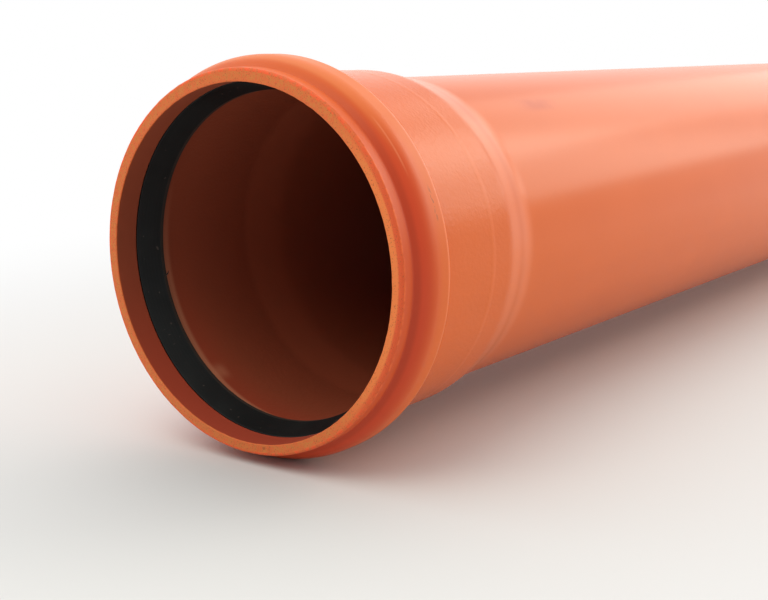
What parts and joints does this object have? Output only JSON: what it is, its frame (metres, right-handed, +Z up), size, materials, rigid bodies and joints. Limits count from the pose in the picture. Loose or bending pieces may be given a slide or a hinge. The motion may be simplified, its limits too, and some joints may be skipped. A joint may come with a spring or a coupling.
{
  "type": "pvc sewer pipe",
  "caption": "Straight orange plastic sewer pipe with a belled socket, a raised bead that holds a rubber lip seal, and a plain chamfered spigot end.",
  "frame": {"origin": "on the floor under the middle of the pipe as it lies", "axes": "+X along the pipe from the socket's mouth to the spigot end, +Z up"},
  "size_m": [1.091, 0.185, 0.185],
  "materials": {
    "pipe_plastic": "satin orange-brown plastic",
    "seal_rubber": "matt black rubber"
  },
  "bodies": {
    "root": {"pipe": "pipe_plastic", "seal_ring": "seal_rubber"}
  },
  "joints": []
}
